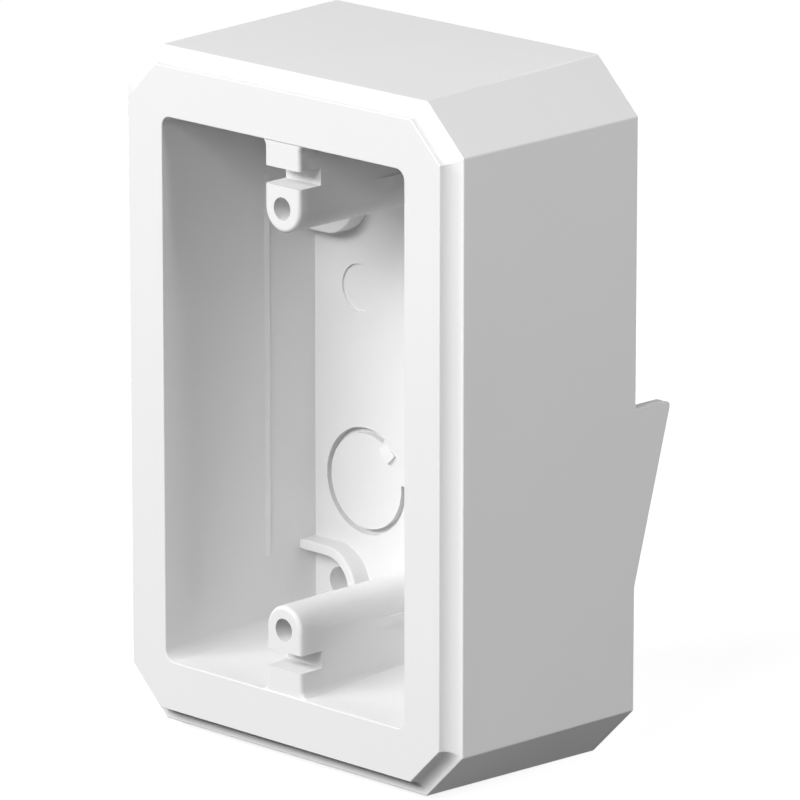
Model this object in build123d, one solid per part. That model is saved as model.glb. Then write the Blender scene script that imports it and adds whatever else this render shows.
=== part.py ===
from build123d import *
import math
import os

# Weatherproof single-gang device box for lap siding, moulded in one piece.
# Millimetres. The origin is the centre of the front face, midway between the
# two device screws. +X is to the right seen from the front, +Y goes into the
# wall and +Z is up.

# Outer skirt: an octagon at the rim that grows a little towards the wall
rim_width = 90.4
rim_height = 135.6
rim_chamfer = 9.5
side_flare = 0.5
end_flare = 1.6
chamfer_flare = 1.0
box_depth = 50.0
skirt_wall = 2.6
skirt_edge_round = 0.5

# Raised face, and the cove that runs round it
cove_radius = 2.6
cove_wall = 0.2
rim_land = 0.55
face_edge_round = 0.3
rim_edge_round = 0.3
front_wall = 2.8

# Cup that holds the wiring device
opening_width = 65.4
opening_height = 109.3
opening_corner = 2.2
opening_edge_round = 0.2
cavity_depth = 40.3
side_draft_deg = 1.6
end_draft_deg = 2.2
cup_wall = 2.4
back_wall = 2.6

# Device screw bosses, each on a web to the end wall
screw_spacing = 83.34
screw_hole_diameter = 4.5
screw_hole_depth = 30.0
boss_radius = 4.7
boss_setback = 0.25
boss_edge_round = 0.8
web_flare = 1.6
notch_depth = 5.7
notch_from_screw = 4.4
notch_height = 3.5
web_rib_z = 43.9
web_rib_width = 1.9
web_rib_height = 0.5
web_rib_front = 20.5
web_rib_ramp = 4.8

# Mounting holes in the back wall, each with a guard rib round its corner
mount_hole_diameter = 6.0
mount_hole_x = 24.6
upper_mount_z = 34.7
lower_mount_z = -45.3
guard_inner_radius = 6.1
guard_wall = 2.1
guard_height = 4.2
guard_edge_round = 0.4
sleeve_wall = 2.4

# Knockouts and ejector marks in the back wall
knockout_diameter = 21.8
knockout_groove = 1.2
knockout_groove_depth = 1.5
knockout_x = 17.4
knockout_z = -23.3
tie_from_deg = 5.0
tie_to_deg = 62.0
pad_angle_deg = 49.0
pad_from_middle = 9.2
pad_length = 3.6
pad_width = 2.4
pad_height = 0.45
pad_tilt_deg = 14.0
mark_diameter = 9.6
mark_depth = 0.5
mark_x = 19.2
mark_z = 15.7

# Low rib up each side wall of the cup
side_rib_y = 27.3
side_rib_width = 1.3
side_rib_height = 0.22
side_rib_half_length = 38.9

# Ribs between the cup and the skirt, behind the front face
outer_rib_wall = 1.8
outer_rib_z = 27.0
outer_rib_x = 18.0

# Wedge fins that fill the bevel under the course of siding above
fin_top_z = 1.35
fin_bottom_z = -34.2
fin_reach = 9.9
fin_tip_round = 1.0

# How far a cutter runs past the face that it cuts, and how far an edge round
# stands off the face that it runs out on, so that the two cross cleanly
overrun = 1.0
run_out = 0.02

cove_depth = face_edge_round + cove_wall + cove_radius
cove_inset = cove_radius + rim_land
frame_back = cove_depth + front_wall
cup_back = cavity_depth + back_wall
fin_tip_y = box_depth + fin_reach
screw_z = screw_spacing / 2
knockout_places = [(knockout_x, knockout_z), (-knockout_x, knockout_z)]
mark_places = [(mark_x, mark_z), (-mark_x, mark_z)]
mount_places = [
    (side * mount_hole_x, z) for side in (1, -1) for z in (upper_mount_z, lower_mount_z)
]


def front_plane(y):
    """The plane across the box at depth y: its first axis is X and its second is Z."""
    return Plane(origin=(0, y, 0), x_dir=(1, 0, 0), z_dir=(0, -1, 0))


def prism(section, y_near, y_far):
    return extrude(front_plane(y_far) * section, amount=y_far - y_near)


def drafted(near, y_near, far, y_far):
    return loft([front_plane(y_near) * near, front_plane(y_far) * far], ruled=True)


def block(x_low, x_high, y_low, y_high, z_low, z_high):
    """A plain block between two opposite corners."""
    size = (x_high - x_low, y_high - y_low, z_high - z_low)
    centre = ((x_low + x_high) / 2, (y_low + y_high) / 2, (z_low + z_high) / 2)
    return Pos(*centre) * Box(*size)


def edges_before(form, y):
    """The edges of a form that lie at depth y or in front of it."""
    return [edge for edge in form.edges() if edge.bounding_box().max.Y < y + 0.01]


def rounded(face, corner, radius):
    """A face with one corner rounded, the one nearest to a point of its plane."""
    return fillet(face.vertices().sort_by_distance((*corner, 0))[0], radius)


def discs(places, diameter):
    """A disc of one diameter at each place, in the X and Z of front_plane."""
    return Sketch() + [Pos(x, z) * Circle(diameter / 2) for x, z in places]


def octagon(half_width, half_height, leg):
    corners = [
        (half_width - leg, half_height),
        (half_width, half_height - leg),
        (half_width, leg - half_height),
        (half_width - leg, -half_height),
        (leg - half_width, -half_height),
        (-half_width, leg - half_height),
        (-half_width, half_height - leg),
        (leg - half_width, half_height),
    ]
    return make_face(Polyline(corners, close=True))


def skirt_section(y, inset=0.0):
    """The skirt's octagon at depth y, moved in by inset along every side."""
    grown = max(y - cove_depth, 0) / (box_depth - cove_depth)
    half_width = rim_width / 2 + side_flare * grown - inset
    half_height = rim_height / 2 + end_flare * grown - inset
    leg = rim_chamfer + chamfer_flare * grown - (2 - math.sqrt(2)) * inset
    return octagon(half_width, half_height, leg)


def skirt_form(y_near, y_far, inset):
    return drafted(skirt_section(y_near, inset), y_near, skirt_section(y_far, inset), y_far)


def cavity_half_width(y):
    return opening_width / 2 - y * math.tan(math.radians(side_draft_deg))


def cavity_half_height(y):
    return opening_height / 2 - y * math.tan(math.radians(end_draft_deg))


def cup_section(y, outset=0.0):
    """The cavity's section at depth y, moved out by outset along every side."""
    width = 2 * (cavity_half_width(y) + outset)
    height = 2 * (cavity_half_height(y) + outset)
    return RectangleRounded(width, height, opening_corner + outset)


def cup_form(y_near, y_far, outset):
    return drafted(cup_section(y_near, outset), y_near, cup_section(y_far, outset), y_far)


def outer_form():
    """The whole outside as a solid, with the wedge fins still joined across."""
    skirt = skirt_form(cove_depth, fin_tip_y + overrun, 0.0)
    long_edges = [edge for edge in skirt.edges() if abs((edge % 0.5).Y) > 0.9]
    skirt = fillet(long_edges, skirt_edge_round)
    return skirt + prism(skirt_section(0), 0, cove_depth) - rear_trim()


def rear_trim():
    """All that lies behind the skirt's back edge, apart from the wedge fins."""
    outline = [
        (box_depth, rim_height),
        (box_depth, fin_top_z),
        (fin_tip_y, fin_top_z),
        (box_depth, fin_bottom_z),
        (box_depth, -rim_height),
        (fin_tip_y + 2 * overrun, -rim_height),
        (fin_tip_y + 2 * overrun, rim_height),
    ]
    face = rounded(make_face(Polyline(outline, close=True)), outline[2], fin_tip_round)
    return extrude(Plane.YZ * face, amount=rim_width, both=True)


def cove_cutter(angle_deg, distance):
    """The cove's cutter along the rim side that faces angle_deg at distance from Y."""
    outward = Vector(math.cos(math.radians(angle_deg)), 0, math.sin(math.radians(angle_deg)))
    along = Vector(-outward.Z, 0, outward.X)
    face_edge = -cove_inset - face_edge_round - run_out
    rim_edge = cove_depth + rim_edge_round + run_out
    corners = [
        (face_edge, -overrun),
        (face_edge, -run_out),
        (-cove_inset, -run_out),
        (-cove_inset, cove_depth),
        (run_out, cove_depth),
        (run_out, rim_edge),
        (overrun, rim_edge),
        (overrun, -overrun),
    ]
    profile = make_face(Polyline(corners, close=True))
    profile = rounded(profile, corners[2], face_edge_round)
    profile = rounded(profile, corners[3], cove_radius)
    profile = rounded(profile, corners[4], rim_edge_round)
    side = Plane(origin=outward * distance, x_dir=outward, z_dir=along)
    return extrude(side * profile, amount=rim_height, both=True)


def coves():
    """One cutter for each of the rim's eight sides. They mitre at its corners."""
    across = rim_width / 2
    up = rim_height / 2
    slant = (across + up - rim_chamfer) / math.sqrt(2)
    slant_deg = [45, 135, 225, 315]
    sides = [(0, across), (180, across), (90, up), (270, up)]
    sides += [(angle, slant) for angle in slant_deg]
    return [cove_cutter(angle, distance) for angle, distance in sides]


def outer_ribs():
    """Ribs that tie the cup to the skirt in the hollow behind the front face."""
    half_wall = outer_rib_wall / 2
    ribs = Part()
    for side in (1, -1):
        z = side * outer_rib_z
        x = side * outer_rib_x
        ribs += block(-rim_width, rim_width, cove_depth, cup_back, z - half_wall, z + half_wall)
        ribs += block(x - half_wall, x + half_wall, cove_depth, cup_back, -rim_height, rim_height)
    inside_skirt = skirt_form(cove_depth, cup_back, skirt_wall / 2)
    return (ribs & inside_skirt) - cup_form(0, cup_back + overrun, cup_wall / 2)


def mount_sleeves():
    """Sleeves behind the back wall that carry the mounting screws to the siding."""
    outside = discs(mount_places, mount_hole_diameter + 2 * sleeve_wall)
    return prism(outside, cavity_depth + back_wall / 2, box_depth)


def boss_section():
    """The upper boss: a round end, its web, and the web's flares into the end wall."""
    wall_z = cavity_half_height(0)
    top_z = wall_z + cup_wall
    flare_x = boss_radius + web_flare
    web = Pos(0, (screw_z + top_z) / 2) * Rectangle(2 * boss_radius, top_z - screw_z)
    flare_low = wall_z - web_flare
    flare = Pos(0, (flare_low + top_z) / 2) * Rectangle(2 * flare_x, top_z - flare_low)
    for side in (1, -1):
        flare -= Pos(side * flare_x, flare_low) * Circle(web_flare)
    return Pos(0, screw_z) * Circle(boss_radius) + web + flare


def web_rib():
    """The low rib on both sides of the upper web, ramped up from its front end."""
    crest_x = boss_radius + web_rib_height
    crest_y = web_rib_front + web_rib_ramp
    outline = [
        (boss_radius, web_rib_front),
        (crest_x, crest_y),
        (crest_x, cup_back),
        (-crest_x, cup_back),
        (-crest_x, crest_y),
        (-boss_radius, web_rib_front),
    ]
    face = Pos(0, 0, web_rib_z) * make_face(Polyline(outline, close=True))
    return extrude(face, amount=web_rib_width / 2, both=True)


def screw_boss():
    """The upper device screw boss, notched through from side to side at its front."""
    boss = prism(boss_section(), boss_setback, cup_back)
    boss = fillet(edges_before(boss, boss_setback), boss_edge_round)
    notch_low = screw_z + notch_from_screw
    reach = boss_radius + web_flare + overrun
    notch_far = boss_setback + notch_depth
    boss -= block(-reach, reach, -overrun, notch_far, notch_low, notch_low + notch_height)
    return boss + web_rib()


def guard_corner(x, z, radius):
    """The corner that a guard rib shuts off round the mounting hole at x, z."""
    out = math.copysign(1, x)
    away = math.copysign(1, z)
    far_x = out * opening_width
    far_z = away * opening_height
    near_x = x - out * radius
    near_z = z - away * radius
    corners = [(near_x, near_z), (far_x, near_z), (far_x, far_z), (near_x, far_z)]
    return rounded(make_face(Polyline(corners, close=True)), corners[0], radius)


def guard_ribs():
    crest = cavity_depth - guard_height
    ribs = Part()
    for x, z in mount_places:
        outside = guard_corner(x, z, guard_inner_radius + guard_wall)
        rib = prism(outside - guard_corner(x, z, guard_inner_radius), crest, cup_back)
        ribs += fillet(edges_before(rib, crest), guard_edge_round)
    return ribs


def side_ribs():
    """A low rib up each side wall. It ramps up from its front edge to a step behind."""
    near = side_rib_y - side_rib_width / 2
    far = side_rib_y + side_rib_width / 2
    outline = [
        (cavity_half_width(near) + run_out, near),
        (cavity_half_width(far) - side_rib_height, far),
        (opening_width, far),
        (opening_width, near),
    ]
    face = make_face(Polyline(outline, close=True))
    rib = extrude(face, amount=side_rib_half_length, both=True)
    return rib + mirror(rib, about=Plane.YZ)


def knockout_ties():
    """The sector of each knockout where no groove parts its disc from the wall."""
    reach = knockout_diameter
    rim = [
        (reach * math.cos(math.radians(180 - angle)), reach * math.sin(math.radians(180 - angle)))
        for angle in (tie_from_deg, tie_to_deg)
    ]
    tie = Pos(knockout_x, knockout_z) * make_face(Polyline([(0, 0), *rim], close=True))
    return tie + mirror(tie, about=Plane.YZ)


def knockout_pads():
    """The pad that stands on each knockout at one end of its tie, with its face tilted up."""
    angle = math.radians(180 - pad_angle_deg)
    x = knockout_x + pad_from_middle * math.cos(angle)
    z = knockout_z + pad_from_middle * math.sin(angle)
    turned = Rot(-pad_tilt_deg, 0, 0) * Rot(0, pad_angle_deg - 180, 0)
    place = Pos(x, cavity_depth - pad_height, z) * turned * Pos(0, back_wall / 4, 0)
    pad = place * Box(pad_width, back_wall / 2, pad_length)
    return pad + mirror(pad, about=Plane.YZ)


def cup_core():
    """The core that moulds the inside of the cup, with pockets for what stands in it."""
    boss = screw_boss()
    core = cup_form(-overrun, cavity_depth, 0.0)
    core -= boss
    core -= mirror(boss, about=Plane.XY)
    core -= guard_ribs()
    core -= side_ribs()
    core -= knockout_pads()
    return core


def opening_edges(shell):
    """The edges round the cup's mouth, in the front face."""
    reach = opening_width / 2 + overrun
    return [edge for edge in edges_before(shell, 0) if edge.bounding_box().max.X < reach]


def holes():
    """Device screw holes, mounting holes, the knockouts' grooves and the marks."""
    screws = discs([(0, screw_z), (0, -screw_z)], screw_hole_diameter)
    mounts = discs(mount_places, mount_hole_diameter)
    knockouts = discs(knockout_places, knockout_diameter)
    knockouts -= discs(knockout_places, knockout_diameter - 2 * knockout_groove)
    knockouts -= knockout_ties()
    marks = discs(mark_places, mark_diameter)
    inside = cavity_depth - overrun
    return [
        prism(screws, -overrun, screw_hole_depth),
        prism(mounts, inside, box_depth + overrun),
        prism(knockouts, inside, cavity_depth + knockout_groove_depth),
        prism(marks, inside, cavity_depth + mark_depth),
    ]


def device_box():
    shell = outer_form() - skirt_form(frame_back, fin_tip_y + 2 * overrun, skirt_wall)
    shell += cup_form(cove_depth, cup_back, cup_wall)
    shell += outer_ribs()
    shell += mount_sleeves()
    shell -= cup_core()
    shell = fillet(opening_edges(shell), opening_edge_round)
    for cutter in coves() + holes():
        shell -= cutter
    return shell


os.makedirs("parts", exist_ok=True)
box = device_box()
print("volume", round(box.volume), "solids", len(box.solids()), "faces", len(box.faces()))
export_step(box, "parts/device_box.step")
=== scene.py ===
# %% [markdown]
# # Weatherproof device box
#
# The box is one white PVC moulding, and the CAD model already holds its whole form, down to the small radii
# on its edges. So this scene adds no piece to it. It gives the moulding its surface, stands it on a floor in
# the light of a plain product photograph, and puts the camera where the photographer's was.

import math

import bpy
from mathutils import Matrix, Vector


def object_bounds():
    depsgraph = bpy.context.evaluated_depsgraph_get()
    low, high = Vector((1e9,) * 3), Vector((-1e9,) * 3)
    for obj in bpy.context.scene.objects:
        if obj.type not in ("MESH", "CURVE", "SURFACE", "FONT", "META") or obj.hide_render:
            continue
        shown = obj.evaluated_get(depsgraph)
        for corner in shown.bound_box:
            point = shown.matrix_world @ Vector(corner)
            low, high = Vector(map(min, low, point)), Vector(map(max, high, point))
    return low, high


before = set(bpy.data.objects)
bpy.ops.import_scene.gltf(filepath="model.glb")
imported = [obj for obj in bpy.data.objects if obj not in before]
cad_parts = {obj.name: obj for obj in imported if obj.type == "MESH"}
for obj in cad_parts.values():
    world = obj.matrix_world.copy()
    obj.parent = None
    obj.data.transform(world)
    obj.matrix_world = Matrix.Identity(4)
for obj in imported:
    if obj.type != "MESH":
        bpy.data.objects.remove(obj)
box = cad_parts["device_box"]
cad_bounds = [list(corner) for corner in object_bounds()]
print("the box spans", cad_bounds)

# %% [markdown]
# ## Shader maths as Python
#
# A finish is a small sum of patterns. Written node by node it is hard to read, so one class wraps an output
# socket: `+` and `*` on it add Math nodes, and its `node` method adds any other kind of node.

# %% A socket that does arithmetic


class Flow:
    """An output socket of a node tree, or the bare tree before it has one."""

    def __init__(self, tree, socket=None):
        self.tree = tree
        self.socket = socket

    def node(self, kind, settings, values, output=0):
        """Adds a node, sets it up, fills its inputs, and gives back one of its outputs."""
        made = self.tree.nodes.new(kind)
        for name, value in settings.items():
            setattr(made, name, value)
        for name, value in values.items():
            if isinstance(value, Flow):
                self.tree.links.new(value.socket, made.inputs[name])
            else:
                made.inputs[name].default_value = value
        return Flow(self.tree, made.outputs[output] if made.outputs else None)

    def maths(self, operation, first, second):
        return self.node("ShaderNodeMath", {"operation": operation}, {0: first, 1: second})

    def __add__(self, other):
        return self.maths("ADD", self, other)

    def __radd__(self, other):
        return self.maths("ADD", other, self)

    def __mul__(self, other):
        return self.maths("MULTIPLY", self, other)

    def __rmul__(self, other):
        return self.maths("MULTIPLY", other, self)


print("sockets can be added and multiplied")


# %% A fresh material
def blank_material(name):
    """A material with an empty node tree, and the Flow that its nodes start from."""
    material = bpy.data.materials.new(name)
    material.use_nodes = True
    material.node_tree.nodes.clear()
    return material, Flow(material.node_tree)


def grey(level):
    """A neutral colour, from 0 for black to 1 for white."""
    return (level, level, level, 1.0)


print("materials start empty, so every node in them is one that this file adds")

# %% [markdown]
# ## The moulded PVC
#
# White PVC with a satin skin. The steel of the mould prints a very fine grain on it, finer than a millimetre,
# and the plastic's flow leaves the gloss a little uneven over some centimetres. Both are noise in the
# object's own coordinates, so they stay put on the part and need no unwrapping. The grain goes to Bump,
# because it is far too fine to be geometry, and the flow goes to Roughness and, faintly, to the colour.

# %% Patterns in the plastic
GRAIN_SCALE = 2300.0
FLOW_SCALE = 38.0
NOISE_DETAIL = 2.0

pvc, start = blank_material("moulded_pvc_satin")
place = start.node("ShaderNodeTexCoord", {}, {}, "Object")


def noise(scale):
    """Noise from 0 to 1 in the object's metres, so scale is in waves to the metre."""
    values = {"Vector": place, "Scale": scale, "Detail": NOISE_DETAIL}
    return start.node("ShaderNodeTexNoise", {"noise_dimensions": "3D"}, values)


grain = noise(GRAIN_SCALE)
flow = noise(FLOW_SCALE)
print("the grain has", GRAIN_SCALE, "waves to the metre, the flow", FLOW_SCALE)

# %% The PVC's shader
WHITE = grey(0.79)
SHADE = grey(0.77)
LEAST_ROUGHNESS = 0.58
ROUGHNESS_SPREAD = 0.12
PVC_IOR = 1.53
GLOSS_LEVEL = 0.25
GRAIN_STRENGTH = 0.25
GRAIN_HEIGHT = 0.00004

# The Mix node has sockets for each kind of value. For colours they are inputs 6 and 7 and output 2.
colour_values = {0: flow, 6: WHITE, 7: SHADE}
colour = start.node("ShaderNodeMix", {"data_type": "RGBA"}, colour_values, 2)
grain_values = {"Height": grain, "Strength": GRAIN_STRENGTH, "Distance": GRAIN_HEIGHT}
grained = start.node("ShaderNodeBump", {}, grain_values)
plastic_values = {
    "Base Color": colour,
    "Roughness": LEAST_ROUGHNESS + ROUGHNESS_SPREAD * flow,
    "IOR": PVC_IOR,
    "Specular IOR Level": GLOSS_LEVEL,
    "Normal": grained,
}
plastic = start.node("ShaderNodeBsdfPrincipled", {}, plastic_values)
start.node("ShaderNodeOutputMaterial", {}, {"Surface": plastic})
for slot in box.material_slots:
    slot.material = pvc
print("the box has", len(box.material_slots), "material slot in", pvc.name)

# %% [markdown]
# ## The floor
#
# The photograph's ground is pure white, with no shadow on it. A white floor in full light would throw a lot
# of light up under the box, which the photograph doesn't show. So the floor is two things. For the camera,
# and for rays that come off gloss or through glass, it glows just under white, and the lamps lift it to
# white. Only the box's shadow stays a little darker, so that the box still seems to stand on something. For
# all other light the floor is almost black. Far from the box the lamps lift it less, so there its own glow
# grows to full white, which hides the horizon.

# %% Build the floor
FLOOR_SIZE = 8.0
FADE_START = 0.3
FADE_END = 0.8
NEAR_GLOW = 0.86
NEAR_PAINT = 0.35
UNSEEN_PAINT = 0.03

floor_z = cad_bounds[0][2]
bpy.ops.mesh.primitive_plane_add(size=FLOOR_SIZE, location=(0.0, 0.0, floor_z))
floor = bpy.context.object
floor.name = "floor"
ground, bare = blank_material("white_ground")
near_glow = bare.node("ShaderNodeEmission", {}, {"Color": grey(NEAR_GLOW), "Strength": 1.0})
near_paint = bare.node("ShaderNodeBsdfDiffuse", {}, {"Color": grey(NEAR_PAINT)})
near = bare.node("ShaderNodeAddShader", {}, {0: near_glow, 1: near_paint})
far = bare.node("ShaderNodeEmission", {}, {"Color": grey(1.0), "Strength": 1.0})
spot = bare.node("ShaderNodeTexCoord", {}, {}, "Object")
reach = bare.node("ShaderNodeVectorMath", {"operation": "LENGTH"}, {0: spot}, "Value")
fade_values = {"Value": reach, "From Min": FADE_START, "From Max": FADE_END}
fade = bare.node("ShaderNodeMapRange", {"interpolation_type": "SMOOTHSTEP"}, fade_values)
seen = bare.node("ShaderNodeMixShader", {}, {0: fade, 1: near, 2: far})
unseen = bare.node("ShaderNodeBsdfDiffuse", {}, {"Color": grey(UNSEEN_PAINT)})


def camera_like(tree_start):
    """1 for the rays that should meet the white ground: camera, glossy and transmission."""
    ray = tree_start.node("ShaderNodeLightPath", {}, {}, "Is Camera Ray")
    glossy = tree_start.node("ShaderNodeLightPath", {}, {}, "Is Glossy Ray")
    through = tree_start.node("ShaderNodeLightPath", {}, {}, "Is Transmission Ray")
    return ray.maths("MAXIMUM", ray, glossy.maths("MAXIMUM", glossy, through))


mixed = bare.node("ShaderNodeMixShader", {}, {0: camera_like(bare), 1: unseen, 2: seen})
bare.node("ShaderNodeOutputMaterial", {}, {"Surface": mixed})
floor.data.materials.append(ground)
print("the floor lies at z =", round(floor_z, 4))

# %% [markdown]
# ## The light
#
# The shading tells where the photographer's lamps were. The front is nearly white, the top less so and the
# side less again, and inside the cup the upper wall shades the boss below it. A wide soft lamp does that,
# from a little to the left of the front and more than a third of a right angle up. A smaller lamp on the
# right lights the side. A low strip behind the box shows its back and left side and reaches nothing that the
# camera sees. The world adds a faint even light, and its white is the photograph's background.

# %% The world
AMBIENT = 0.02

world = bpy.data.worlds.new("studio")
world.use_nodes = True
world.node_tree.nodes.clear()
bpy.context.scene.world = world
air = Flow(world.node_tree)
dim_sky = air.node("ShaderNodeBackground", {}, {"Color": grey(1.0), "Strength": AMBIENT})
seen_sky = air.node("ShaderNodeBackground", {}, {"Color": grey(1.0), "Strength": 1.0})
sky = air.node("ShaderNodeMixShader", {}, {0: camera_like(air), 1: dim_sky, 2: seen_sky})
air.node("ShaderNodeOutputWorld", {}, {"Surface": sky})
print("the world lights at", AMBIENT)


# %% Lamps
def direction(azimuth, elevation):
    """A unit vector, from the azimuth round from the front to the right and the elevation."""
    turn = math.radians(azimuth)
    rise = math.radians(elevation)
    flat = math.cos(rise)
    return Vector((math.sin(turn) * flat, -math.cos(turn) * flat, math.sin(rise)))


def soft_lamp(name, toward, distance, size, power):
    """Adds a lamp of size, its width and height, that faces the box from the direction toward."""
    lamp_data = bpy.data.lights.new(name, "AREA")
    lamp_data.shape = "RECTANGLE"
    lamp_data.size = size[0]
    lamp_data.size_y = size[1]
    lamp_data.energy = power
    lamp = bpy.data.objects.new(name, lamp_data)
    bpy.context.scene.collection.objects.link(lamp)
    lamp.location = toward * distance
    lamp.rotation_euler = toward.to_track_quat("Z", "Y").to_euler()


soft_lamp("key_lamp", direction(-8.0, 34.0), distance=1.5, size=(1.8, 0.6), power=36.0)
soft_lamp("side_lamp", direction(94.0, 24.0), distance=1.8, size=(0.6, 0.6), power=16.0)
soft_lamp("back_lamp", direction(-145.0, 0.0), distance=1.6, size=(0.9, 0.12), power=20.0)
print(len(bpy.data.lights), "lamps are lit")

# %% [markdown]
# ## The camera
#
# The camera's place was worked out from points of the photograph and their places on the CAD model. The back
# edges run almost parallel to the front ones, so it stood far off with a long lens. It looks past the centre
# of the front face, close to the middle of the box.

# %% Set the camera
CAMERA_AZIMUTH = 45.485
CAMERA_ELEVATION = 15.129
CAMERA_DISTANCE = 1.4776
LOOK_AZIMUTH = 44.579
LOOK_ELEVATION = 14.973
FOCAL_PIXELS = 7731.6
PHOTO_PIXELS = 800.0
SENSOR_WIDTH = 36.0

camera_data = bpy.data.cameras.new("photo_camera")
camera_data.sensor_width = SENSOR_WIDTH
camera_data.lens = FOCAL_PIXELS / PHOTO_PIXELS * SENSOR_WIDTH
camera = bpy.data.objects.new("photo_camera", camera_data)
camera.location = direction(CAMERA_AZIMUTH, CAMERA_ELEVATION) * CAMERA_DISTANCE
camera.rotation_euler = (math.radians(90.0 - LOOK_ELEVATION), 0.0, math.radians(LOOK_AZIMUTH))
bpy.context.scene.collection.objects.link(camera)
bpy.context.scene.camera = camera
bpy.context.scene.view_settings.view_transform = "Standard"
print("the lens is", round(camera_data.lens, 1), "mm long")
